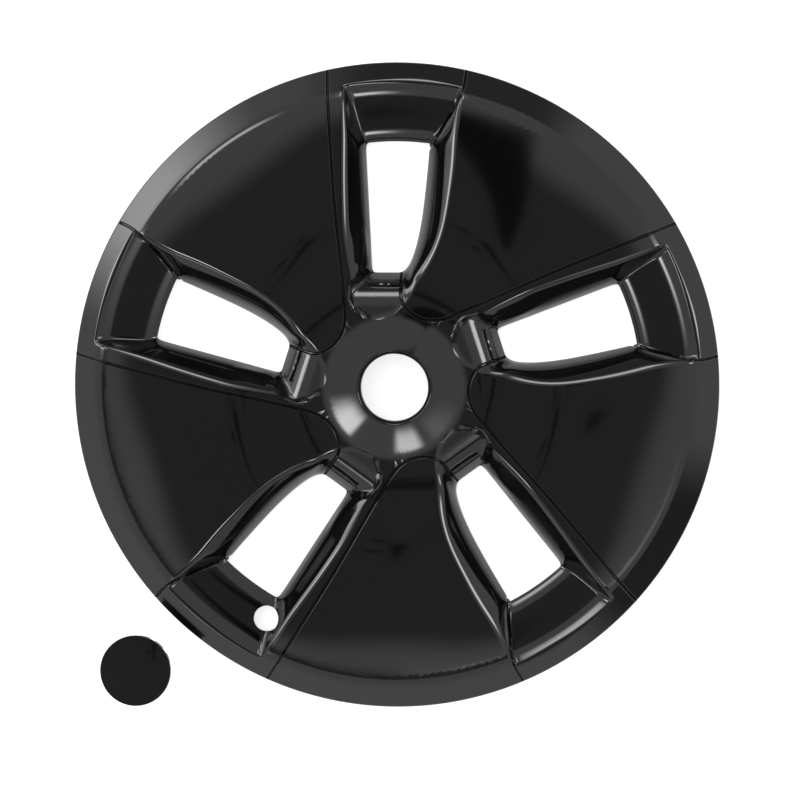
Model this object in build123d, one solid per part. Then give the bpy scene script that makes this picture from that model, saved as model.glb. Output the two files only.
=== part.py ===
from build123d import *
import math
import os

# Wheel cover and its snap-in centre cap, in millimetres, lying face up.
# The wheel's axis is Z, the back edge lies on Z = 0 and one window points along +Y.

# Face of the cover, as a section through the axis
sector_count = 5
rim_radius = 245.0
edge_height = 8.0
band_inner_radius = 231.0
band_inner_height = 19.6
shoulder_radius = 214.0
shoulder_height = 26.4
shoulder_slope = -0.16
crest_radius = 132.0
crest_height = 31.0
valley_radius = 74.0
valley_height = 28.6
hub_slope_radius = 48.0
hub_slope_height = 31.0
hub_slope = -0.13
hub_lip_radius = 28.6
hub_lip_slope = -0.12
hub_height = 33.4

# Moulding
wall = 2.4
window_wall = 1.8
floor_share = 0.85
ridge_round = 1.2

# Centre hole with its collar and the seat for the cap, and the hole for the tyre valve
centre_hole_radius = 25.3
collar_length = 9.5
cap_seat_radius = 27.3
cap_seat_depth = 1.8
valve_hole_radius = 9.55
valve_hole_x = -24.4
valve_hole_y = 201.0
valve_sector = 2

# Window well: plan points of the lower opening and of the ridge where the well meets the face
opening_height = 8.0
opening_radius = 185.3
opening_inner = 86.2
opening_left = [(-22.3, 178.0), (-17.6, 86.2)]
ridge_left = [(-38.8, 190.0), (-33.2, 72.0)]
opening_right = [(4.6, 86.2), (8.6, 90.0), (12.6, 98.0), (16.8, 112.0), (20.0, 129.0), (22.6, 150.0),
                 (24.6, 170.0), (25.6, 181.5)]
ridge_right = [(6.0, 66.0), (18.0, 77.5), (26.5, 92.0), (32.5, 109.0), (37.0, 128.0), (40.8, 148.0),
               (44.6, 168.0), (47.8, 189.0)]
corner_round = 5.0

# Levels of the well, from the opening up past the face: height over the opening, share of the way
# from opening to ridge, radius of the dish, its left and right corners, and reach towards the hub
well_levels = [
    (0.0, 0.00, opening_radius, -22.3, 25.8, opening_inner),
    (4.0, 0.13, 194.0, -25.5, 30.5, 82.4),
    (7.5, 0.29, 220.0, -33.0, 46.8, 79.0),
    (12.6, 0.56, 231.2, -38.4, 51.0, 73.0),
    (17.0, 0.78, 237.0, -40.0, 52.5, 66.5),
    (27.0, 1.14, 241.0, -42.5, 54.5, 58.0),
]

# Scoop in the hub at the well's inner end
scoop_left = -17.0
scoop_right = -5.0
scoop_y = 60.5
scoop_floor = 24.8
scoop_round = 13.0

# Moulded grooves
groove_width = 2.3
groove_depth = 1.5
groove_floor_wall = 2.0
nose_groove = [(4.5, 93.0), (4.5, 80.0), (4.8, 67.0), (8.5, 59.5), (15.5, 53.8), (23.0, 50.9), (31.0, 50.4),
               (39.8, 52.2), (54.7, 58.1), (82.3, 70.2), (128.4, 90.4), (219.6, 126.6)]
dish_groove = [(53.4, 250.0), (50.2, 221.5), (27.2, 182.5), (24.0, 177.0)]

# Snap tabs behind the blades
tab_radius = 212.0
tab_width = 14.0
tab_thickness = 2.2
tab_foot = 2.0
tab_hook = 2.0
tab_hook_height = 5.0
tab_angles = [40.0, 66.0]

# Centre cap, lying on its fingers beside the cover
cap_bearing = 227.6
cap_gap = 22.6
cap_clearance = 0.3
cap_head_edge = 1.6
cap_dome = 1.8
finger_count = 13
finger_gap = 4.6
finger_thickness = 1.6
finger_clearance = 0.5
barb_height = 2.6
barb_bite = 0.6

sector_angle = 360.0 / sector_count
sector_start = 90.0 - sector_angle / 2
below = -12.0
above = 2 * hub_height
hub_core = 12.0
profile_steps = 18
groove_steps = 30


def plan(points):
    """Plan points as vectors on Z = 0."""
    return [Vector(x, y, 0) for x, y in points]


def face_line():
    """Section line of the face, from the hub's lip to the rim band."""
    points = [
        (hub_lip_radius, hub_height),
        (hub_slope_radius, hub_slope_height),
        (valley_radius, valley_height),
        (crest_radius, crest_height),
        (shoulder_radius, shoulder_height),
        (band_inner_radius, band_inner_height),
    ]
    slopes = [hub_lip_slope, hub_slope, 0, 0, shoulder_slope]
    runs = [Vector(1, slope, 0) for slope in slopes]
    runs.append(Vector(rim_radius - band_inner_radius, edge_height - band_inner_height, 0))
    return Spline([Vector(r, z, 0) for r, z in points], tangents=runs)


def face_sector(depth, bottom):
    """One sector of the solid that lies under the face, sunk square to it by a depth."""
    line = face_line()
    sunk = []
    for step in range(profile_steps + 1):
        at = line @ (step / profile_steps)
        along = line % (step / profile_steps)
        sunk.append(at - Vector(-along.Y, along.X, 0) * depth)
    band_run = Vector(rim_radius - band_inner_radius, edge_height - band_inner_height, 0)
    band_normal = Vector(-band_run.Y, band_run.X, 0).normalized()
    edge_radius = rim_radius - depth
    edge_drop = depth / band_normal.Y - depth * band_run.Y / band_run.X
    edge = Vector(edge_radius, edge_height - edge_drop, 0)
    top = Spline(sunk)
    outline = Wire([
        Line((hub_core, bottom), (hub_core, hub_height - depth)),
        Line((hub_core, hub_height - depth), top @ 0),
        top,
        Line(top @ 1, edge),
        Line(edge, (edge_radius, bottom)),
        Line((edge_radius, bottom), (hub_core, bottom)),
    ])
    section = Plane.XZ * Face(outline)
    return revolve(Rot(0, 0, sector_start) * section, Axis.Z, sector_angle)


def rounded(corner, before, after, radius):
    """Ends of a round that takes the place of a corner between two points."""
    back = (before - corner).normalized() * radius
    on = (after - corner).normalized() * radius
    return corner + back, corner + on


def well_section(level, depth):
    """Outline of the well at one level, pushed outward for a sunk form."""
    rise, share, dish_radius, left_x, right_x, inner_y = level
    out = depth * window_wall / wall
    right = []
    for low, high in zip(plan(opening_right), plan(ridge_right)):
        across = (high - low).normalized()
        right.append(low + (high - low) * share + across * out)
    right[0] = Vector(right[0].X, inner_y - out, 0)
    left = []
    for low, high in zip(plan(opening_left), plan(ridge_left)):
        left.append(low + (high - low) * share + Vector(-out, 0, 0))
    reach = dish_radius + out
    outer_right = Vector(right_x + out, math.sqrt(reach**2 - (right_x + out) ** 2), 0)
    outer_left = Vector(left_x - out, math.sqrt(reach**2 - (left_x - out) ** 2), 0)
    inner_left = Vector(left[1].X, inner_y - out, 0)
    outer_a, outer_b = rounded(outer_left, outer_right, left[0], corner_round * 0.7)
    inner_a, inner_b = rounded(inner_left, left[0], right[0], corner_round)
    turn = math.degrees(math.atan2(outer_a.Y + outer_right.Y, outer_a.X + outer_right.X))
    outer_mid = Vector(reach * math.cos(math.radians(turn)), reach * math.sin(math.radians(turn)), 0)
    edges = [
        ThreePointArc(outer_right, outer_mid, outer_a),
        TangentArc(outer_a, outer_b, tangent=outer_left - outer_a),
        Line(outer_b, left[0]),
        Line(left[0], inner_a),
        TangentArc(inner_a, inner_b, tangent=inner_left - inner_a),
        Line(inner_b, right[0]),
        Spline(right),
        Line(right[-1], outer_right),
    ]
    return Pos(0, 0, opening_height + rise - depth * floor_share) * Wire(edges)


def well(depth, floor):
    """Tool for one window well with its dish and hub scoop, open down to a floor height."""
    sections = [well_section(level, depth) for level in well_levels]
    tool = Solid.make_loft(sections, ruled=True)
    lowest = sections[0].center().Z
    if floor < lowest:
        tool = tool + extrude(Face(sections[0]), amount=lowest - floor, dir=(0, 0, -1))
    else:
        tool = tool - Pos(0, 0, floor - above / 2) * Box(3 * rim_radius, 3 * rim_radius, above)
    ball = scoop_round + depth
    middle = Pos((scoop_left + scoop_right) / 2, 0, 0)
    trough = middle * Rot(0, 90, 0) * Cylinder(ball, scoop_right - scoop_left)
    trough = trough + [Pos(scoop_left, 0, 0) * Sphere(ball), Pos(scoop_right, 0, 0) * Sphere(ball)]
    return tool + Pos(0, scoop_y, scoop_floor + scoop_round) * trough


def groove_strip(width):
    """Upright slabs that follow the grooves of one blade in plan."""
    path = Spline(plan(nose_groove))
    sides = ([], [])
    for step in range(groove_steps + 1):
        at = path @ (step / groove_steps)
        along = path % (step / groove_steps)
        across = Vector(-along.Y, along.X, 0) * (width / 2)
        sides[0].append(at + across)
        sides[1].append(at - across)
    left = Spline(sides[0])
    right = Spline(sides[1])
    nose = Face(Wire([left, Line(left @ 1, right @ 1), right, Line(right @ 0, left @ 0)]))
    slab = extrude(nose, amount=above, dir=(0, 0, 1))
    corners = plan(dish_groove)
    for start, end in zip(corners, corners[1:]):
        run = end - start
        turn = math.degrees(math.atan2(run.Y, run.X))
        middle = (start + end) * 0.5
        bar = Rot(0, 0, turn) * Box(run.length + width / 2, width, above)
        slab = slab + Pos(middle.X, middle.Y, above / 2) * bar
    return slab


def form(depth, bottom, floor):
    """One sector of the cover's outer form, sunk by a depth."""
    return face_sector(depth, bottom) - well(depth, floor)


def rolled(sector):
    """The sector with the ridge round its well rolled over, or left sharp where no round fits."""
    solid = sector.solids()[0]
    face = max(solid.faces().filter_by(GeomType.REVOLUTION), key=lambda one: one.area)
    ridge = face.inner_wires()[0].edges()
    try:
        return Part(solid.fillet(ridge_round, ridge).wrapped)
    except ValueError:
        return sector


def cover_sector():
    """One sector of the shell, with the grooves of the blades on both of its sides."""
    slim = groove_strip(groove_width)
    wide = groove_strip(groove_width + 2 * window_wall)
    slim = slim + Rot(0, 0, sector_angle) * slim
    wide = wide + Rot(0, 0, sector_angle) * wide
    outer = rolled(form(0, 0, below)) - (slim - form(groove_depth, below, below))
    hollow = form(wall, below, opening_height)
    hollow = hollow - (wide - form(groove_depth + groove_floor_wall, below, opening_height))
    return outer - hollow


def snap_tab():
    """Tab that hangs behind a blade, with its hook turned to the rim, drawn on +X."""
    top = shoulder_height - wall / 2
    inner = tab_radius - tab_thickness
    outline = Polyline(
        (inner, top),
        (inner, tab_foot),
        (tab_radius, tab_foot),
        (tab_radius + tab_hook, tab_foot + tab_hook_height * 0.6),
        (tab_radius, tab_foot + tab_hook_height),
        (tab_radius, top),
        close=True,
    )
    return extrude(Plane.XZ * Face(Wire(outline)), amount=tab_width / 2, both=True)


def cover_shell():
    """The whole moulding: the sectors, centre hole with collar and cap seat, valve hole and snap tabs."""
    sector = cover_sector()
    tabs = [Rot(0, 0, angle) * snap_tab() for angle in tab_angles]
    turns = [Rot(0, 0, step * sector_angle) for step in range(sector_count)]
    shell = sector + [turn * sector for turn in turns[1:]]
    shell = shell + [turn * tab for turn in turns for tab in tabs]
    collar_top = hub_height - cap_seat_depth
    collar_base = collar_top - collar_length
    collar_radius = centre_hole_radius + wall
    collar = Pos(0, 0, (collar_base + collar_top) / 2) * Cylinder(collar_radius, collar_length)
    shell = shell + collar
    shell = shell - Cylinder(centre_hole_radius, 4 * hub_height)
    shell = shell - Pos(0, 0, collar_top + hub_height) * Cylinder(cap_seat_radius, 2 * hub_height)
    valve = Pos(valve_hole_x, valve_hole_y, 0) * Cylinder(valve_hole_radius, 4 * hub_height)
    return shell - Rot(0, 0, valve_sector * sector_angle) * valve


def centre_cap():
    """Snap cap: a domed head on a ring of fingers with barbs, its finger tips on Z = 0."""
    head_radius = cap_seat_radius - cap_clearance
    finger_radius = centre_hole_radius - finger_clearance
    barb_radius = centre_hole_radius + barb_bite
    reach = collar_length + cap_clearance
    tip = barb_height
    under = reach + tip
    head_top = under + cap_head_edge
    inner = finger_radius - finger_thickness
    dome_radius = (head_radius**2 + cap_dome**2) / (2 * cap_dome)
    half = head_radius / 2
    half_top = head_top + cap_dome - dome_radius + math.sqrt(dome_radius**2 - half**2)
    head = Wire([
        Line((0, under), (0, head_top + cap_dome)),
        ThreePointArc((0, head_top + cap_dome), (half, half_top), (head_radius, head_top)),
        Line((head_radius, head_top), (head_radius, under)),
        Line((head_radius, under), (0, under)),
    ])
    root = under + cap_head_edge / 4
    fingers = Polyline(
        (inner, 0),
        (inner, root),
        (finger_radius, root),
        (finger_radius, tip),
        (barb_radius, tip),
        (finger_radius - finger_thickness / 4, 0),
        close=True,
    )
    ring = revolve(Plane.XZ * Face(Wire(fingers)), Axis.Z)
    gap = Pos(finger_radius, 0, under / 2 - 1) * Box(4 * finger_thickness, finger_gap, under)
    step = 360.0 / finger_count
    ring = ring - [Rot(0, 0, step * count) * gap for count in range(finger_count)]
    place = Rot(0, 0, cap_bearing) * Pos(rim_radius + cap_gap + head_radius, 0, 0)
    return place * (revolve(Plane.XZ * Face(head), Axis.Z) + ring)


if __name__ == "__main__":
    os.makedirs("parts", exist_ok=True)
    export_step(cover_shell(), "parts/cover_shell.step")
    export_step(centre_cap(), "parts/centre_cap.step")
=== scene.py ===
"""Gloss black wheel cover and its snap cap: the looks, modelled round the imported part."""

import math

import bpy
import numpy as np
from bpy.props import FloatProperty, FloatVectorProperty, PointerProperty
from mathutils import Matrix, Vector


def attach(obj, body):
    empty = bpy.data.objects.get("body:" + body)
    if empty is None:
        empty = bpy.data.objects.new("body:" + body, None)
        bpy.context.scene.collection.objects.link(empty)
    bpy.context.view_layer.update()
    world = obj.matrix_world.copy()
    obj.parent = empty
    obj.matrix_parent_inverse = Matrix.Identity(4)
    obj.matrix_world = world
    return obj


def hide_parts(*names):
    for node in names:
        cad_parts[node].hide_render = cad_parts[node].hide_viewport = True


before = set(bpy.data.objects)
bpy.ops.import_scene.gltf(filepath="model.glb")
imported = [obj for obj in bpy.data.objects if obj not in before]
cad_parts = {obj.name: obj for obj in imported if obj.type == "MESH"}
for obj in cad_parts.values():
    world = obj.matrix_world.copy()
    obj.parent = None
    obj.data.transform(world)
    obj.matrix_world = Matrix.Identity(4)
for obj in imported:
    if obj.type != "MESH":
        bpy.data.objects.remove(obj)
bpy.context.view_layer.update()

bl_info = {
    "name": "Wheel Cover",
    "version": (1, 0, 0),
    "blender": (4, 5, 0),
    "location": "View3D > Sidebar > Wheel Cover",
    "description": "Models a gloss black wheel cover and its snap cap round the packed part",
    "category": "Mesh",
}

MM = 0.001
SECTOR = math.radians(72)
SECTOR_START = math.radians(54)

# Section of the face: radius, height and slope, from the hub's lip to the rim
FACE = np.array([
    (28.6, 33.4, -0.19),
    (48.0, 29.4, -0.21),
    (70.0, 27.0, 0.0),
    (132.0, 31.0, 0.0),
    (220.0, 25.65, -0.13),
    (228.5, 21.67, -0.8286),
    (245.0, 8.0, -0.8286),
])
RIM_RADIUS = 244.2

# Lines turned down from the face at the rim and at the centre hole: radius and height
RIM_LINE = [(244.7, 8.1), (244.95, 7.4), (245.0, 6.4), (245.0, 0.7), (244.8, 0.2), (244.3, 0.0)]
HUB_LINE = [(28.0, 33.4), (27.65, 33.3), (27.4, 33.05), (27.3, 32.6), (27.3, 31.8), (27.1, 31.6),
            (25.75, 31.6), (25.45, 31.5), (25.3, 31.2), (25.3, 22.1)]
VALVE_PLACE = (-0.09840, -0.17695, 0)

# Swell of each blade: radii where it starts and ends, and the width over which it eases in
CROWN_START = 62
CROWN_END = 222
CROWN_EASE = 60

# Plan of the window well at its lower opening and at the ridge on the face
OPENING_HEIGHT = 8.0
OPENING_LEFT = np.array([(-22.3, 178.0), (-17.6, 86.2)])
RIDGE_LEFT = np.array([(-38.8, 190.0), (-33.2, 72.0)])
OPENING_RIGHT = np.array([(4.6, 86.2), (8.6, 90.0), (12.6, 98.0), (16.8, 112.0), (20.0, 129.0), (22.6, 150.0),
                          (24.6, 170.0), (25.6, 181.5)])
RIDGE_RIGHT = np.array([(6.0, 66.0), (18.0, 77.5), (26.5, 92.0), (32.5, 109.0), (37.0, 128.0), (40.8, 148.0),
                        (44.6, 168.0), (47.8, 189.0)])

# Walls of the well: height over the opening, shares of the way from opening to ridge on the left and
# on the right, and reach to the hub
WALLS = np.array([
    (0.0, 0.00, 0.00, 86.2),
    (5.0, 0.13, 0.13, 83.4),
    (10.0, 0.36, 0.32, 79.4),
    (15.0, 0.64, 0.56, 75.4),
    (19.0, 0.86, 0.78, 71.0),
    (27.0, 1.34, 1.30, 58.0),
])
# Dish of the well: height over the opening, radius, and its left and right corners
DISH = np.array([
    (0.0, 185.3, -22.3, 25.8),
    (4.0, 194.0, -25.5, 30.5),
    (7.5, 220.0, -33.0, 46.8),
    (12.6, 231.2, -38.4, 51.0),
    (17.0, 237.0, -40.0, 52.5),
    (27.0, 241.0, -42.5, 54.5),
])
WELL_RISES = np.linspace(0.0, 27.0, 70)

# Places along each outline of the well: its dish, left wall, inner end, right wall and right dish corner
DISH_PLACES = 240
LEFT_PLACES = 250
INNER_PLACES = 90
RIGHT_PLACES = 270
CORNER_PLACES = 90
CORNER_EASE = 6
# Stretches of the outline where the ridge is looked up: its left, lower right and upper right
LEFT_STRETCH = (240, 489)
LOWER_RIGHT_STRETCH = (560, 760)
UPPER_RIGHT_STRETCH = (609, 939)

# Sections of the side walls towards the hub: share of the height, and of the way from opening to ridge
LEFT_WALL = np.array([
    (0, 0), (0.16, 0.05), (0.30, 0.14), (0.445, 0.27), (0.575, 0.40), (0.88, 0.785), (1, 1),
])
RIGHT_WALL = np.array([
    (0, 0), (0.16, 0.05), (0.30, 0.14), (0.455, 0.28), (0.60, 0.42), (0.727, 0.55), (0.863, 0.73), (1, 1),
])
# Distances along the window where these sections start to ease out, on the left and right, and over how far
LEFT_WALL_END = 88
RIGHT_WALL_END = 79
WALL_EASE = 30

# Scoop in the hub at the well's inner end: its round edge in plan with the bearings of its ends, where the
# ridge round it leaves the left and right ridges, places on the way to the right ridge, the distances where
# it starts and over which it eases in, and its section from the hub over the roll to the opening
SCOOP_CENTRE = np.array([-13.2, 72.1])
SCOOP_RADIUS = 21.2
SCOOP_BEARINGS = (192, 306)
SCOOP_LEFT_START = 86
SCOOP_RIGHT_START = (18, 77.5)
SCOOP_RIGHT_WAY = [(4.8, 60.6), (10.4, 68.2)]
SCOOP_LEFT_EASE = (80, 15)
SCOOP_RIGHT_EASE = (66.5, 8)
SCOOP_ROLL_SHARE = 0.2
SCOOP_LINE = np.array([(50.0, 28.45), (56.0, 27.5), (62.0, 26.6), (65.0, 26.1), (67.5, 25.5), (69.5, 24.8),
                       (71.3, 23.9), (72.8, 22.9), (74.2, 21.7), (75.6, 20.2), (76.4, 19.6), (79.4, 17.2),
                       (83.4, 12.4), (86.2, 8.0)])

# Grooves of one blade and of the scoop's foot in plan
NOSE_GROOVE = [(4.5, 93.0), (4.5, 80.0), (4.8, 67.0), (8.5, 59.5), (15.5, 53.8), (23.0, 50.9), (31.0, 50.4),
               (39.8, 52.2), (54.7, 58.1), (82.3, 70.2), (128.4, 90.4), (219.6, 126.6)]
DISH_GROOVE = [(53.4, 250.0), (50.2, 221.5), (27.2, 182.5), (24.0, 177.0)]
FOOT_GROOVE = [(-21.0, 76.6), (-14.0, 76.0), (-7.0, 75.8), (-1.0, 75.8), (5.0, 76.0)]

# Snap tabs behind the blades: section as radius and height, width and bearings
TAB_LINE = [(209.8, 2.0), (211.4, 2.0), (214.0, 5.2), (214.0, 6.2), (212.0, 7.2), (212.0, 24.6),
            (209.8, 24.6), (209.8, 2.0)]
TAB_WIDTH = 14.0
TAB_BEARINGS = (40.0, 66.0)

# Mesh of one sector: points along the rim, each side and the hub, and rings from opening to outline
RIM_POINTS = 48
SIDE_POINTS = 48
RIM_ROLL_POINTS = 20
RIM_ROLL_RADIUS = 208
HUB_POINTS = 32
WALL_RINGS = 17
RIDGE_RINGS = 6
FACE_RINGS = 18
# Places of the ridge that the sector's corners are tied to
UPPER_RIGHT_Y = 206
UPPER_LEFT_Y = 214
LOWER_LEFT_Y = 82
LOWER_RIGHT_PLACE = (11, 69)
SMOOTH_ANGLE = math.radians(32)
FACE_ANGLE = math.radians(16)

# Studio cards: name, bearings and leans off the axis in degrees, glow, and the fading parts of each
SKY_RADIUS = 3.2
SKY_LEAN = (-0.043, -0.050)
SKY_CARDS = [
    ("ceiling", (0, 360), (0, 22), 0.27, (0, 0), (0, 0.2)),
    ("left_box", (186, 229), (23, 34), 15, (0.6, 0.12), (0.25, 0.4)),
    ("front_box", (267, 299), (23, 34), 13, (0.25, 0.3), (0.25, 0.4)),
    ("right_box", (300, 352), (22, 42), 2.6, (0.25, 0.7), (0.25, 0.3)),
    ("top_scoop_box", (76, 104), (36, 66), 9, (0.3, 0.3), (0.35, 0.35)),
    ("right_scoop_box", (4, 32), (36, 66), 12, (0.3, 0.3), (0.35, 0.35)),
    ("left_scoop_box", (148, 176), (36, 66), 12, (0.3, 0.3), (0.35, 0.35)),
    ("low_scoop_box", (222, 246), (40, 62), 4, (0.3, 0.3), (0.35, 0.35)),
    ("dish_box", (112, 142), (34, 56), 9, (0.35, 0.35), (0.35, 0.35)),
    ("rim_box", (118, 172), (60, 88), 6, (0.5, 0.4), (0.3, 0.1)),
    ("rim_shade", (52, 114), (68, 90), 0.3, (0.2, 0.3), (0.3, 0)),
    ("dark_wall", (300, 350), (60, 90), 0.2, (0.3, 0.3), (0.3, 0)),
]
# Low card over the rim's front: bearings, radii and height
SHADE_BEARINGS = (174, 316)
SHADE_RADII = (0.405, 0.62)
SHADE_HEIGHT = 0.5
SHADE_GLOW = 0.27
# Camera: lean off the axis, bearing and the place that it looks at
CAMERA_TILT = math.radians(3.8)
CAMERA_BEARING = math.radians(50)
CAMERA_TARGET = (0.0030, -0.0108, 0.004)
SENSOR_WIDTH = 36
# Dark flags, as shares of their height over the cover: tip, end and half width
FLAG_HEIGHT = 2.9
FLAGS = [
    ((0.025, 0.005), (0.085, 0.36), 0.1),
    ((0.105, -0.062), (0.135, -0.02), 0.03),
    ((-0.042, -0.145), (-0.036, 0.02), 0.018),
    ((-0.09, -0.075), (-0.08, -0.04), 0.016),
    ((-0.072, 0.0), (-0.066, 0.04), 0.012),
]


class CoverSizes(bpy.types.PropertyGroup):
    """Sizes of the cover that can be set."""

    wall: FloatProperty(name="Wall", description="Thickness of the moulding", default=2.4 * MM, unit="LENGTH")
    ridge_roll: FloatProperty(
        name="Ridge roll", description="Reach of the rolled ridge of a window", default=3.2 * MM, unit="LENGTH"
    )
    crown: FloatProperty(
        name="Blade crown", description="Swell of each blade", default=0.8 * MM, unit="LENGTH"
    )
    groove_width: FloatProperty(
        name="Groove width", description="Width of the moulded grooves", default=2.3 * MM, unit="LENGTH"
    )
    groove_depth: FloatProperty(
        name="Groove depth", description="Depth of the moulded grooves", default=1.5 * MM, unit="LENGTH"
    )
    valve_radius: FloatProperty(
        name="Valve hole", description="Radius of the valve's hole", default=9.55 * MM, unit="LENGTH"
    )


class FinishColours(bpy.types.PropertyGroup):
    """Colours and gloss of the moulded plastic."""

    black: FloatVectorProperty(
        name="Black", description="Colour of the plastic", default=(0.003, 0.003, 0.0033), subtype="COLOR"
    )
    roughness: FloatProperty(
        name="Roughness", description="Roughness of the gloss face", default=0.07, min=0, max=1
    )


class StageSettings(bpy.types.PropertyGroup):
    """Floor, light and camera."""

    floor: FloatVectorProperty(
        name="Floor", description="Colour of the floor", default=(0.8, 0.8, 0.8), subtype="COLOR"
    )
    key: FloatProperty(name="Key light", description="Strength of the soft key light", default=1.2, min=0)
    distance: FloatProperty(
        name="Camera distance", description="From the camera to the cover", default=2.6, unit="LENGTH"
    )
    width: FloatProperty(
        name="View width", description="Width of the view at the cover", default=0.6082, unit="LENGTH"
    )


def only(obj):
    """Leaves one object selected and active."""
    bpy.ops.object.select_all(action="DESELECT")
    obj.select_set(True)
    bpy.context.view_layer.objects.active = obj


def applied(obj, kind, **values):
    """Adds a modifier with the given values and applies it."""
    only(obj)
    modifier = obj.modifiers.new(kind.lower(), kind)
    for name, value in values.items():
        setattr(modifier, name, value)
    bpy.ops.object.modifier_apply(modifier=modifier.name)


def placed_grid(name, points, around=False, joined=True):
    """A grid moved to rows of points, joined where they meet, and closed where it runs round."""
    rows, columns = points.shape[:2]
    bpy.ops.object.select_all(action="DESELECT")
    bpy.ops.mesh.primitive_grid_add(x_subdivisions=columns - 1, y_subdivisions=rows - 1, size=1)
    obj = bpy.context.object
    obj.name = name
    obj.data.vertices.foreach_set("co", points.reshape(-1))
    obj.data.update()
    if not joined:
        return obj
    bpy.ops.object.mode_set(mode="EDIT")
    bpy.ops.mesh.select_all(action="SELECT")
    bpy.ops.mesh.remove_doubles(threshold=1e-5)
    if around:
        bpy.ops.mesh.select_all(action="DESELECT")
        bpy.ops.mesh.select_non_manifold()
        bpy.ops.mesh.fill_holes(sides=0)
        bpy.ops.mesh.select_all(action="SELECT")
        bpy.ops.mesh.normals_make_consistent(inside=False)
    bpy.ops.object.mode_set(mode="OBJECT")
    return obj


def select_vertices(obj, test):
    """Selects in edit mode the vertices whose place passes a test."""
    only(obj)
    bpy.ops.object.mode_set(mode="EDIT")
    bpy.ops.mesh.select_mode(type="VERT")
    bpy.ops.mesh.select_all(action="DESELECT")
    bpy.ops.object.mode_set(mode="OBJECT")
    for vertex in obj.data.vertices:
        vertex.select = test(vertex.co)
    bpy.ops.object.mode_set(mode="EDIT")


def turned_edge(obj, radius, line):
    """Extrudes a round open edge through a line of radius and height, in millimetres."""
    select_vertices(obj, lambda place: abs(math.hypot(place.x, place.y) - radius * MM) < 0.05 * MM)
    height = next(v.co.z for v in obj.data.vertices if v.select)
    for next_radius, next_height in line:
        share = next_radius / radius
        bpy.ops.mesh.extrude_edges_move()
        bpy.ops.transform.resize(value=(share, share, 1), center_override=(0, 0, 0))
        bpy.ops.transform.translate(value=(0, 0, next_height * MM - height))
        radius = next_radius
        height = next_height * MM
    bpy.ops.object.mode_set(mode="OBJECT")


def curve_through(at, places, values, slopes):
    """Cubic curve through values with a slope at each."""
    span = np.clip(np.searchsorted(places, at, side="right") - 1, 0, len(places) - 2)
    width = places[span + 1] - places[span]
    share = (at - places[span]) / width
    rest = 1 - share
    return (
        values[span] * rest**2 * (1 + 2 * share)
        + values[span + 1] * share**2 * (1 + 2 * rest)
        + slopes[span] * width * share * rest**2
        - slopes[span + 1] * width * share**2 * rest
    )


def even_slopes(places, values):
    """Slopes that keep a curve between its values."""
    steps = np.diff(values) / np.diff(places)
    slopes = np.zeros(len(values))
    slopes[0] = 0.4 * steps[0]
    slopes[-1] = steps[-1]
    both = steps[:-1] * steps[1:] > 0
    slopes[1:-1][both] = 2 * steps[:-1][both] * steps[1:][both] / (steps[:-1][both] + steps[1:][both])
    return slopes


def eased(share):
    """A share from nought to one with eased ends."""
    share = np.clip(share, 0, 1)
    return share * share * (3 - 2 * share)


def face_height(x, y, crown):
    """Height of the face over a place in plan, with the blade's crown."""
    radius = np.hypot(x, y)
    height = curve_through(radius, FACE[:, 0], FACE[:, 1], FACE[:, 2])
    inner = np.clip((radius - CROWN_START) / CROWN_EASE, 0, 1)
    outer = np.clip((CROWN_END - radius) / CROWN_EASE, 0, 1)
    blades = 2 * math.pi / SECTOR
    return height + crown * eased(inner * outer) * np.cos(blades * (np.arctan2(y, x) - SECTOR_START))


def scoop_ridge(start, end, count):
    """Places along the ridge round the scoop, from the left ridge over its round edge to the right."""
    turns = np.radians(np.linspace(*SCOOP_BEARINGS, 14))
    round_edge = SCOOP_CENTRE + SCOOP_RADIUS * np.stack([np.cos(turns), np.sin(turns)], axis=1)
    return bowed(np.vstack([start, round_edge, SCOOP_RIGHT_WAY, end]), count)


def along(points, count):
    """Evenly spaced places along straight runs, without the last."""
    points = np.asarray(points, float)
    reach = np.concatenate(([0], np.cumsum(np.hypot(*np.diff(points, axis=0).T))))
    at = np.linspace(0, reach[-1], count, endpoint=False)
    return np.stack([np.interp(at, reach, points[:, axis]) for axis in range(2)], axis=1)


def bowed(points, count):
    """Evenly spaced places along a smooth curve through points, without the last."""
    points = np.asarray(points, float)
    ends = np.concatenate(([2 * points[0] - points[1]], points, [2 * points[-1] - points[-2]]))
    fine = []
    for before, start, end, after in zip(ends, ends[1:], ends[2:], ends[3:]):
        share = np.linspace(0, 1, 40, endpoint=False)[:, None]
        fine.append(0.5 * (
            2 * start + (end - before) * share + (2 * before - 5 * start + 4 * end - after) * share**2
            + (3 * start - before - 3 * end + after) * share**3
        ))
    return along(np.concatenate(fine + [points[-1:]]), count)


def eased_ring(ring, spread):
    """A closed line with its corners eased over a number of places."""
    steps = np.arange(-3 * spread, 3 * spread + 1)
    weights = np.exp(-0.5 * (steps / spread) ** 2)
    weights /= weights.sum()
    return sum(weight * np.roll(ring, step, axis=0) for step, weight in zip(steps, weights))


def level_values(table, rise):
    """Values of a table of levels at a height over the opening."""
    levels = table[:, 0]
    return [curve_through(np.array([rise]), levels, row, even_slopes(levels, row))[0] for row in table.T[1:]]


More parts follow.
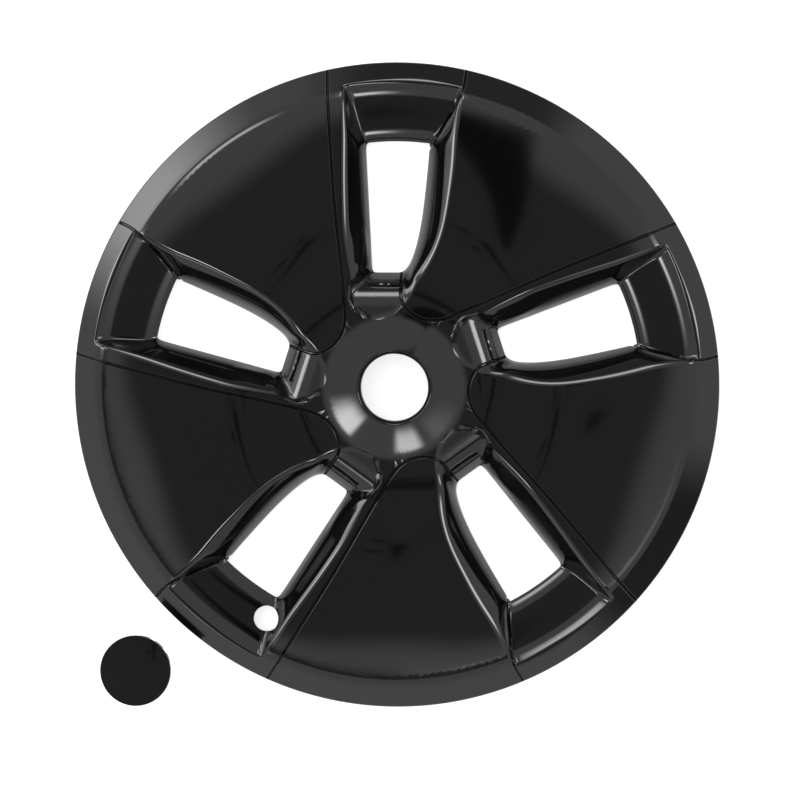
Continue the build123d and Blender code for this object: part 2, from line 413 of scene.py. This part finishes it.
def well_outline(rise):
    """Closed outline of the well at a height over its opening, from its right dish corner round."""
    left_share, right_share, inner = level_values(WALLS, rise)
    dish, left_x, right_x = level_values(DISH, rise)
    right = OPENING_RIGHT + (RIDGE_RIGHT - OPENING_RIGHT) * right_share
    right[0, 1] = inner
    left = OPENING_LEFT + (RIDGE_LEFT - OPENING_LEFT) * left_share
    left[1, 1] = inner
    turns = np.linspace(math.acos(right_x / dish), math.acos(left_x / dish), DISH_PLACES)
    arc = dish * np.stack([np.cos(turns), np.sin(turns)], axis=1)
    ring = np.concatenate([
        arc[:-1],
        along([arc[-1], left[0], left[1]], LEFT_PLACES),
        along([left[1], right[0]], INNER_PLACES),
        bowed(right, RIGHT_PLACES),
        along([right[-1], arc[0]], CORNER_PLACES),
    ])
    return eased_ring(ring, CORNER_EASE)


def sector_outline():
    """Outline of one sector: along the rim, down its left side, along the hub and up its right side."""
    rim = SECTOR_START + SECTOR * np.linspace(0, 1, RIM_POINTS, endpoint=False)
    hub_radius = FACE[0, 0]
    dense = np.linspace(RIM_RADIUS, RIM_ROLL_RADIUS, RIM_ROLL_POINTS, endpoint=False)
    side = np.concatenate([dense, np.linspace(RIM_ROLL_RADIUS, hub_radius, SIDE_POINTS - len(dense) + 1)])
    end = SECTOR_START + SECTOR
    hub = end - SECTOR * np.linspace(0, 1, HUB_POINTS, endpoint=False)

    def polar(radius, turn):
        return np.stack(np.broadcast_arrays(radius * np.cos(turn), radius * np.sin(turn)), axis=1)

    return np.concatenate([
        polar(RIM_RADIUS, rim),
        polar(side[:-1], end),
        polar(hub_radius, hub),
        polar(side[::-1][:-1], SECTOR_START),
    ])


def spread_places(ridge, marks):
    """Places along the ridge for the sector's outline points, closer together where the ridge turns."""
    count = len(ridge)
    step = np.roll(ridge, -1, axis=0) - ridge
    length = np.hypot(*step.T)
    heading = np.unwrap(np.arctan2(step[:, 1], step[:, 0]))
    turn = np.abs(np.diff(np.concatenate((heading[-1:] - 2 * math.pi, heading)))) / length
    turn = eased_ring(np.minimum(turn, 0.4)[:, None], 8)[:, 0]
    weight = np.tile(length * (1 + 9 * turn), 2)
    reach = np.concatenate(([0], np.cumsum(weight)))
    index = np.arange(2 * count + 1)
    places = []
    sides = [RIM_POINTS, SIDE_POINTS, HUB_POINTS, SIDE_POINTS]
    for start, end, points in zip(marks, marks[1:] + [marks[0] + count], sides):
        goal = np.linspace(*np.interp([start, end], index, reach), points, endpoint=False)
        places.append(np.interp(goal, reach, index))
    return np.concatenate(places) % count


def at_distance(ridge, stretch, distance):
    """Index on a stretch of the ridge where it is at a distance along the window."""
    return stretch[0] + int(np.argmin(np.abs(ridge[slice(*stretch), 1] - distance)))


def near_place(ridge, stretch, place):
    """Index on a stretch of the ridge that is nearest to a place."""
    return stretch[0] + int(np.argmin(np.hypot(*(ridge[slice(*stretch)] - place).T)))


def run_lengths(points):
    """Distance along a line of points at each of them."""
    return np.concatenate(([0], np.cumsum(np.linalg.norm(np.diff(points, axis=0), axis=1))))


def well_wall(line, corner, corner_rise, ruled):
    """Wall of the well from its opening to a place on the ridge, and the share of the scoop in it."""
    if ruled:
        shares = np.linspace(0, 1, 60)
        path = line[0] + (corner - line[0]) * shares[:, None]
        rises = corner_rise * shares
    else:
        below = WELL_RISES < corner_rise - 0.05
        path = np.vstack([line[below], corner])
        rises = np.append(WELL_RISES[below], corner_rise)
    run = run_lengths(path)
    run /= run[-1]
    on_left = corner[0] < SCOOP_CENTRE[0]
    section = LEFT_WALL if on_left else RIGHT_WALL
    levels = np.linspace(0, 1, 80)
    shares = curve_through(levels, section[:, 0], section[:, 1], even_slopes(*section.T))
    side = 1 - eased((corner[1] - (LEFT_WALL_END if on_left else RIGHT_WALL_END)) / WALL_EASE)
    height = OPENING_HEIGHT + (1 - side) * rises + side * corner_rise * np.interp(run, shares, levels)
    start, ease = SCOOP_LEFT_EASE if on_left else SCOOP_RIGHT_EASE
    scooped = eased((start - corner[1]) / ease)
    floor = np.interp(path[:, 1], *SCOOP_LINE.T)
    floor[-1] = height[-1]
    return np.column_stack([path, height + scooped * (floor - height)]), scooped


def face_run(corner, end, start, crown):
    """Points over the face from near the ridge to the sector's outline, turning evenly round the axis."""
    fade = np.linspace(0, 1, FACE_RINGS + 1)
    fade = start + (1 - start) * (0.55 * fade**1.6 + 0.45 * (0.5 - 0.5 * np.cos(math.pi * fade)))
    radius = np.hypot(*corner) + (np.hypot(*end) - np.hypot(*corner)) * fade
    turn = math.atan2(corner[1], corner[0])
    turn = turn + (math.atan2(end[1], end[0]) - turn) * fade
    plan = np.stack([radius * np.cos(turn), radius * np.sin(turn)], axis=1)
    return np.column_stack([plan, face_height(plan[:, 0], plan[:, 1], crown)])


def sector_sheet(sizes):
    """Rings of points of one sector's top face, from the window's opening to the sector's outline."""
    crown = sizes.crown / MM
    roll = sizes.ridge_roll / MM
    walls = np.stack([well_outline(rise) for rise in WELL_RISES])
    heights = OPENING_HEIGHT + WELL_RISES[:, None]
    over = heights - face_height(walls[..., 0], walls[..., 1], crown)
    top = np.argmax(over > 0, axis=0)
    column = np.arange(walls.shape[1])
    share = -over[top - 1, column] / (over[top, column] - over[top - 1, column])
    ridge = walls[top - 1, column] + (walls[top, column] - walls[top - 1, column]) * share[:, None]
    ridge_rise = WELL_RISES[top - 1] + (WELL_RISES[top] - WELL_RISES[top - 1]) * share

    first = at_distance(ridge, LEFT_STRETCH, SCOOP_LEFT_START)
    last = near_place(ridge, LOWER_RIGHT_STRETCH, SCOOP_RIGHT_START)
    ridge[first:last] = scoop_ridge(ridge[first], ridge[last], last - first)
    ridge_rise[first:last] = face_height(*ridge[first:last].T, crown) - OPENING_HEIGHT
    straight = np.zeros(len(ridge))
    straight[first:last] = 1

    upper_right = at_distance(ridge, UPPER_RIGHT_STRETCH, UPPER_RIGHT_Y)
    upper_left = at_distance(ridge, LEFT_STRETCH, UPPER_LEFT_Y)
    lower_left = at_distance(ridge, LEFT_STRETCH, LOWER_LEFT_Y)
    lower_right = near_place(ridge, LOWER_RIGHT_STRETCH, LOWER_RIGHT_PLACE)
    marks = [upper_right, upper_left + len(ridge), lower_left + len(ridge), lower_right + len(ridge)]
    places = spread_places(ridge, marks)

    def read(table):
        low = np.floor(places).astype(int) % len(ridge)
        part = (places % 1).reshape((-1,) + (1,) * (table.ndim - 1))
        return table[low] * (1 - part) + table[(low + 1) % len(ridge)] * part

    crest = read(ridge)
    rise = read(ridge_rise)
    straight = read(straight)
    walls = read(walls.transpose(1, 0, 2))
    columns = []
    for line, corner, corner_rise, ruled, end in zip(walls, crest, rise, straight, sector_outline()):
        wall, scooped = well_wall(line, corner, corner_rise, ruled > 0.5)
        reach = run_lengths(wall)
        bend_reach = roll * (1 - (1 - SCOOP_ROLL_SHARE) * scooped)
        at = (reach[-1] - bend_reach) * np.linspace(0, 1, WALL_RINGS) ** 1.1
        lower = np.stack([np.interp(at, reach, wall[:, axis]) for axis in range(3)], axis=1)
        upper = face_run(corner, end, bend_reach / np.linalg.norm(end - corner), crown)
        bend = np.linspace(0, 1, RIDGE_RINGS + 2)[1:-1, None]
        rolled = (1 - bend) ** 2 * lower[-1] + 2 * bend * (1 - bend) * wall[-1] + bend**2 * upper[0]
        columns.append(np.vstack([lower, rolled, upper]))
    columns.append(columns[0])
    return np.stack(columns, axis=1) * MM


def surface_under(sheet, x, y):
    """Height of the sheet under a place, or None off it."""
    hit, place, _, _ = sheet.ray_cast(Vector((x, y, 0.1)), Vector((0, 0, -1)))
    return place.z if hit else None


def groove_tool(name, sheet, points, count, sizes):
    """Closed cutter that follows a groove's line in plan and sinks it evenly under the sheet."""
    line = np.vstack([bowed(points, count - 1), points[-1:]]) * MM
    run = np.gradient(line, axis=0)
    run /= np.linalg.norm(run, axis=1)[:, None]
    across = np.stack([-run[:, 1], run[:, 0]], axis=1)
    half = sizes.groove_width / 2
    flare = 0.3 * MM
    edge = half + flare
    foot = half * 0.15
    section = [(-foot, -1), (-half, -0.12), (-edge, 0.02), (-edge, 1.4), (edge, 1.4), (edge, 0.02),
               (half, -0.12), (foot, -1), (-foot, -1)]
    rows = []
    for offset, depth in section:
        plan = line + across * offset
        heights = np.array([surface_under(sheet, x, y) or np.nan for x, y in plan])
        known = np.flatnonzero(~np.isnan(heights))
        heights = np.interp(np.arange(count), known, heights[known])
        slope = np.gradient(heights) / np.linalg.norm(np.gradient(plan, axis=0), axis=1)
        deep = depth * sizes.groove_depth * np.minimum(np.sqrt(1 + slope**2), 1.8)
        rows.append(np.column_stack([plan, heights + deep]))
    return placed_grid(name, np.stack(rows), around=True)


def turned_copies(obj):
    """Repeats the mesh of one sector round the axis and joins the edges that meet."""
    only(obj)
    bpy.ops.object.mode_set(mode="EDIT")
    bpy.ops.mesh.select_all(action="SELECT")
    bpy.ops.mesh.spin(steps=4, dupli=True, angle=4 * SECTOR, center=(0, 0, 0), axis=(0, 0, 1))
    bpy.ops.mesh.select_all(action="SELECT")
    bpy.ops.mesh.remove_doubles(threshold=2e-5)
    bpy.ops.mesh.normals_make_consistent(inside=False)
    bpy.ops.object.mode_set(mode="OBJECT")


def cover_sheet(name, sizes):
    """The whole top face as a sheet, with its edges turned down at the centre hole and the rim."""
    sheet = placed_grid(name, sector_sheet(sizes))
    turned_copies(sheet)
    if sum(face.normal.z for face in sheet.data.polygons) < 0:
        sheet.data.flip_normals()
    turned_edge(sheet, FACE[0, 0], HUB_LINE)
    turned_edge(sheet, RIM_RADIUS, RIM_LINE)
    only(sheet)
    bpy.ops.object.shade_smooth()
    return sheet


def snap_tab(name, bearing):
    """Snap tab with its hook at a bearing, as a closed piece."""
    along_tab = np.linspace(-TAB_WIDTH / 2, TAB_WIDTH / 2, 5)
    turn = math.radians(bearing)
    out = np.array([math.cos(turn), math.sin(turn)])
    aside = np.array([-out[1], out[0]])
    rows = [[(*(radius * out + step * aside), height) for step in along_tab] for radius, height in TAB_LINE]
    return placed_grid(name, np.array(rows) * MM, around=True)


def face_normals(obj, crown):
    """Sets the true normals of the face, so that the gloss runs evenly over it."""
    mesh = obj.data
    places = np.empty(len(mesh.vertices) * 3)
    mesh.vertices.foreach_get("co", places)
    places = places.reshape(-1, 3) / MM
    corners = np.empty(len(mesh.loops), int)
    mesh.loops.foreach_get("vertex_index", corners)
    flats = np.empty(len(mesh.polygons) * 3)
    mesh.polygons.foreach_get("normal", flats)
    sides = np.empty(len(mesh.polygons), int)
    mesh.polygons.foreach_get("loop_total", sides)
    flats = np.repeat(flats.reshape(-1, 3), sides, axis=0)
    x, y, z = places.T
    step = 0.02
    radius = np.hypot(x, y)
    inside = (radius > FACE[0, 0] - 0.1) & (radius < RIM_RADIUS + 0.1)
    near = inside & (np.abs(z - face_height(x, y, crown)) < 0.03)
    slope_x = (face_height(x + step, y, crown) - face_height(x - step, y, crown)) / (2 * step)
    slope_y = (face_height(x, y + step, crown) - face_height(x, y - step, crown)) / (2 * step)
    normals = np.stack([-slope_x, -slope_y, np.ones(len(x))], axis=1)
    normals /= np.linalg.norm(normals, axis=1)[:, None]
    normals = normals[corners]
    kept = near[corners] & ((normals * flats).sum(axis=1) > math.cos(FACE_ANGLE))
    mesh.normals_split_custom_set(np.where(kept[:, None], normals, 0).tolist())


class WHEELCOVER_OT_cover(bpy.types.Operator):
    """Model the cover's moulding with its windows, grooves, holes and snap tabs"""

    bl_idname = "wheelcover.cover"
    bl_label = "Cover"

    def execute(self, context):
        sizes = context.scene.cover_sizes
        cover = cover_sheet("cover", sizes)
        context.view_layer.update()
        grooves = [groove_tool("nose_groove", cover, NOSE_GROOVE, 110, sizes),
                   groove_tool("dish_groove", cover, DISH_GROOVE, 60, sizes),
                   groove_tool("foot_groove", cover, FOOT_GROOVE, 24, sizes)]
        applied(cover, "SOLIDIFY", thickness=sizes.wall, offset=-1, use_quality_normals=True)
        for bearing in TAB_BEARINGS:
            tab = snap_tab("tab", bearing)
            turned_copies(tab)
            applied(cover, "BOOLEAN", operation="UNION", object=tab, solver="MANIFOLD")
            bpy.data.objects.remove(tab)
        for groove in grooves:
            turned_copies(groove)
            applied(cover, "BOOLEAN", operation="DIFFERENCE", object=groove, solver="MANIFOLD")
            bpy.data.objects.remove(groove)
        bpy.ops.mesh.primitive_cylinder_add(
            vertices=72, radius=sizes.valve_radius, depth=0.1, location=VALVE_PLACE
        )
        hole = context.object
        applied(cover, "BOOLEAN", operation="DIFFERENCE", object=hole, solver="MANIFOLD")
        bpy.data.objects.remove(hole)
        only(cover)
        bpy.ops.object.shade_smooth_by_angle(angle=SMOOTH_ANGLE)
        face_normals(cover, sizes.crown / MM)
        cover.data.materials.clear()
        cover.data.materials.append(gloss_black("cover_gloss"))
        cover.data.polygons.foreach_set("material_index", [0] * len(cover.data.polygons))
        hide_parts("cover_shell")
        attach(cover, "root")
        return {"FINISHED"}


def gloss_black(name):
    """Gloss black moulded plastic with a faint flow in its colour and gloss."""
    finish = bpy.context.scene.cover_finish
    material = bpy.data.materials.new(name)
    material.use_nodes = True
    nodes = material.node_tree.nodes
    links = material.node_tree.links
    shader = nodes["Principled BSDF"]
    place = nodes.new("ShaderNodeTexCoord")
    flow = nodes.new("ShaderNodeTexNoise")
    flow.inputs["Scale"].default_value = 9
    flow.inputs["Detail"].default_value = 3
    links.new(place.outputs["Object"], flow.inputs["Vector"])
    shade = nodes.new("ShaderNodeMix")
    shade.data_type = "RGBA"
    shade.inputs["A"].default_value = (*[0.85 * part for part in finish.black], 1)
    shade.inputs["B"].default_value = (*[1.15 * part for part in finish.black], 1)
    links.new(flow.outputs["Fac"], shade.inputs["Factor"])
    links.new(shade.outputs["Result"], shader.inputs["Base Color"])
    gloss = nodes.new("ShaderNodeMapRange")
    gloss.inputs["To Min"].default_value = finish.roughness * 0.8
    gloss.inputs["To Max"].default_value = finish.roughness * 1.2
    links.new(flow.outputs["Fac"], gloss.inputs["Value"])
    links.new(gloss.outputs["Result"], shader.inputs["Roughness"])
    shader.inputs["IOR"].default_value = 1.5
    return material


class WHEELCOVER_OT_cap(bpy.types.Operator):
    """Finish the snap cap that lies beside the cover"""

    bl_idname = "wheelcover.cap"
    bl_label = "Snap cap"

    def execute(self, context):
        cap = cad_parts["centre_cap"]
        cap.data.materials.clear()
        cap.data.materials.append(gloss_black("cap_gloss"))
        return {"FINISHED"}


class WHEELCOVER_OT_stage(bpy.types.Operator):
    """Lay the floor, set the lights and aim the camera"""

    bl_idname = "wheelcover.stage"
    bl_label = "Stage"

    def execute(self, context):
        stage = context.scene.cover_stage
        bpy.ops.object.select_all(action="DESELECT")
        bpy.ops.mesh.primitive_plane_add(size=12, location=(0, 0, 0))
        floor = context.object
        floor.name = "floor"
        floor.data.materials.append(floor_white(stage.floor))
        context.scene.world = studio_world()
        for card in SKY_CARDS:
            sky_card(*card)
        shoulder_shade()
        for flag in FLAGS:
            dark_flag(*flag)
        bpy.ops.object.light_add(type="SUN", location=(-1, 1, 3))
        lamp = context.object
        lamp.data.energy = stage.key
        lamp.data.angle = math.radians(70)
        lamp.rotation_euler = (math.radians(-22), math.radians(-22), 0)
        lamp.visible_glossy = False
        bpy.ops.object.camera_add()
        camera = context.object
        aside = math.sin(CAMERA_TILT)
        out = Vector((aside * math.cos(CAMERA_BEARING), aside * math.sin(CAMERA_BEARING), math.cos(CAMERA_TILT)))
        camera.location = Vector(CAMERA_TARGET) + out * stage.distance
        side = Vector((0, 1, 0)).cross(out).normalized()
        up = out.cross(side)
        camera.rotation_euler = Matrix((side, up, out)).transposed().to_euler()
        camera.data.sensor_width = SENSOR_WIDTH
        camera.data.lens = SENSOR_WIDTH * stage.distance / stage.width
        camera.data.clip_end = 50
        context.scene.camera = camera
        context.scene.view_settings.view_transform = "Standard"
        return {"FINISHED"}


def floor_white(colour):
    """Matt floor that reads white to the eye and in reflections, and keeps its shadow."""
    material = bpy.data.materials.new("floor_white")
    material.use_nodes = True
    nodes = material.node_tree.nodes
    links = material.node_tree.links
    matt = nodes["Principled BSDF"]
    matt.inputs["Base Color"].default_value = (*colour, 1)
    matt.inputs["Roughness"].default_value = 1
    matt.inputs["Specular IOR Level"].default_value = 0
    path = nodes.new("ShaderNodeLightPath")
    seen = nodes.new("ShaderNodeMath")
    seen.operation = "MAXIMUM"
    links.new(path.outputs["Is Camera Ray"], seen.inputs[0])
    links.new(path.outputs["Is Glossy Ray"], seen.inputs[1])
    glow = nodes.new("ShaderNodeMath")
    glow.operation = "MULTIPLY"
    glow.inputs[1].default_value = 0.68
    links.new(seen.outputs[0], glow.inputs[0])
    matt.inputs["Emission Color"].default_value = (1, 1, 1, 1)
    links.new(glow.outputs[0], matt.inputs["Emission Strength"])
    return material


def studio_world():
    """White surround, a little lower for the light that falls on matt surfaces."""
    world = bpy.data.worlds.new("studio")
    world.use_nodes = True
    nodes = world.node_tree.nodes
    links = world.node_tree.links
    sky = nodes["Background"]
    sky.inputs["Color"].default_value = (1, 1, 1, 1)
    path = nodes.new("ShaderNodeLightPath")
    level = nodes.new("ShaderNodeMapRange")
    level.inputs["To Min"].default_value = 1
    level.inputs["To Max"].default_value = 0.7
    links.new(path.outputs["Is Diffuse Ray"], level.inputs["Value"])
    links.new(level.outputs["Result"], sky.inputs["Strength"])
    return world


def card_glow(name, glow):
    """Even glow of a studio card that fades out to its edges."""
    material = bpy.data.materials.new(name)
    material.use_nodes = True
    nodes = material.node_tree.nodes
    links = material.node_tree.links
    nodes.remove(nodes["Principled BSDF"])
    shine = nodes.new("ShaderNodeEmission")
    shine.inputs["Strength"].default_value = glow
    clear = nodes.new("ShaderNodeBsdfTransparent")
    body = nodes.new("ShaderNodeAttribute")
    body.attribute_name = "body"
    mix = nodes.new("ShaderNodeMixShader")
    links.new(body.outputs["Fac"], mix.inputs["Fac"])
    links.new(clear.outputs[0], mix.inputs[1])
    links.new(shine.outputs[0], mix.inputs[2])
    links.new(mix.outputs[0], nodes["Material Output"].inputs["Surface"])
    return material


def studio_card(name, points, body, glow):
    """Card from rows of points that shows only in the gloss of the cover."""
    card = placed_grid(name, points, joined=False)
    card.data.attributes.new("body", "FLOAT", "POINT").data.foreach_set("value", body.reshape(-1))
    card.data.materials.append(card_glow(name, glow))
    card.visible_camera = False
    card.visible_diffuse = False
    card.visible_shadow = False


def fading(count, low, high):
    """Shares along a run that rise from its start and fall to its end over given parts of it."""
    at = np.linspace(0, 1, count)
    rise = np.clip(at / low, 0, 1) if low else np.ones(count)
    fall = np.clip((1 - at) / high, 0, 1) if high else np.ones(count)
    return eased(rise * fall)


def sky_card(name, bearings, leans, glow, bearing_fade, lean_fade):
    """Card that is part of a sphere round the cover, from bearings and leans off the axis in degrees."""
    turn = np.radians(np.linspace(*bearings, 49))[None, :]
    lean = np.radians(np.linspace(*leans, 25))[:, None]
    turn, lean = np.broadcast_arrays(turn, lean)
    out = np.stack([np.sin(lean) * np.cos(turn), np.sin(lean) * np.sin(turn), np.cos(lean)], axis=2)
    out[..., :2] += np.cos(lean)[..., None] * SKY_LEAN
    body = fading(25, *lean_fade)[:, None] * fading(49, *bearing_fade)[None, :]
    studio_card(name, out * SKY_RADIUS, body, glow)


def shoulder_shade():
    """Low card round the front that keeps the soft boxes out of the rim's shoulder."""
    turn = np.radians(np.linspace(*SHADE_BEARINGS, 49))[None, :]
    radius = np.linspace(*SHADE_RADII, 13)[:, None]
    x = radius * np.cos(turn)
    y = radius * np.sin(turn)
    points = np.stack([x, y, np.full_like(x, SHADE_HEIGHT)], axis=2)
    body = fading(13, 0.1, 0.1)[:, None] * fading(49, 0.05, 0.05)[None, :]
    studio_card("shoulder_shade", points, body, SHADE_GLOW)


def dark_flag(tip, end, width):
    """Dark flag over the cover whose tapering shape shows on a blade."""
    rows = np.linspace(0, 1, 25)[:, None]
    across = np.linspace(-1, 1, 13)[None, :]
    x = tip[0] + (end[0] - tip[0]) * rows + width * rows**0.8 * across
    y = tip[1] + (end[1] - tip[1]) * rows + 0 * across
    points = np.stack([x, y, np.ones_like(x)], axis=2) * FLAG_HEIGHT
    body = fading(25, 0.05, 0.15)[:, None] * fading(13, 0.12, 0.12)[None, :]
    studio_card("flag", points, body, 0)


class WHEELCOVER_PT_panel(bpy.types.Panel):
    """Sidebar panel that lists the cover's sizes and steps"""

    bl_idname = "WHEELCOVER_PT_panel"
    bl_label = "Wheel Cover"
    bl_space_type = "VIEW_3D"
    bl_region_type = "UI"
    bl_category = "Wheel Cover"

    def draw(self, context):
        column = self.layout.column()
        for group in (context.scene.cover_sizes, context.scene.cover_finish, context.scene.cover_stage):
            for name in group.__annotations__:
                column.prop(group, name)
        for operator in OPERATORS:
            column.operator(operator.bl_idname)


GROUPS = {"cover_sizes": CoverSizes, "cover_finish": FinishColours, "cover_stage": StageSettings}
OPERATORS = [WHEELCOVER_OT_cover, WHEELCOVER_OT_cap, WHEELCOVER_OT_stage]


def register():
    for name, group in GROUPS.items():
        bpy.utils.register_class(group)
        setattr(bpy.types.Scene, name, PointerProperty(type=group))
    for piece in OPERATORS + [WHEELCOVER_PT_panel]:
        bpy.utils.register_class(piece)


def unregister():
    for piece in [WHEELCOVER_PT_panel] + OPERATORS[::-1]:
        bpy.utils.unregister_class(piece)
    for name, group in GROUPS.items():
        delattr(bpy.types.Scene, name)
        bpy.utils.unregister_class(group)


def main():
    register()
    bpy.ops.wheelcover.cover()
    bpy.ops.wheelcover.cap()
    bpy.ops.wheelcover.stage()


if __name__ == "__main__":
    main()
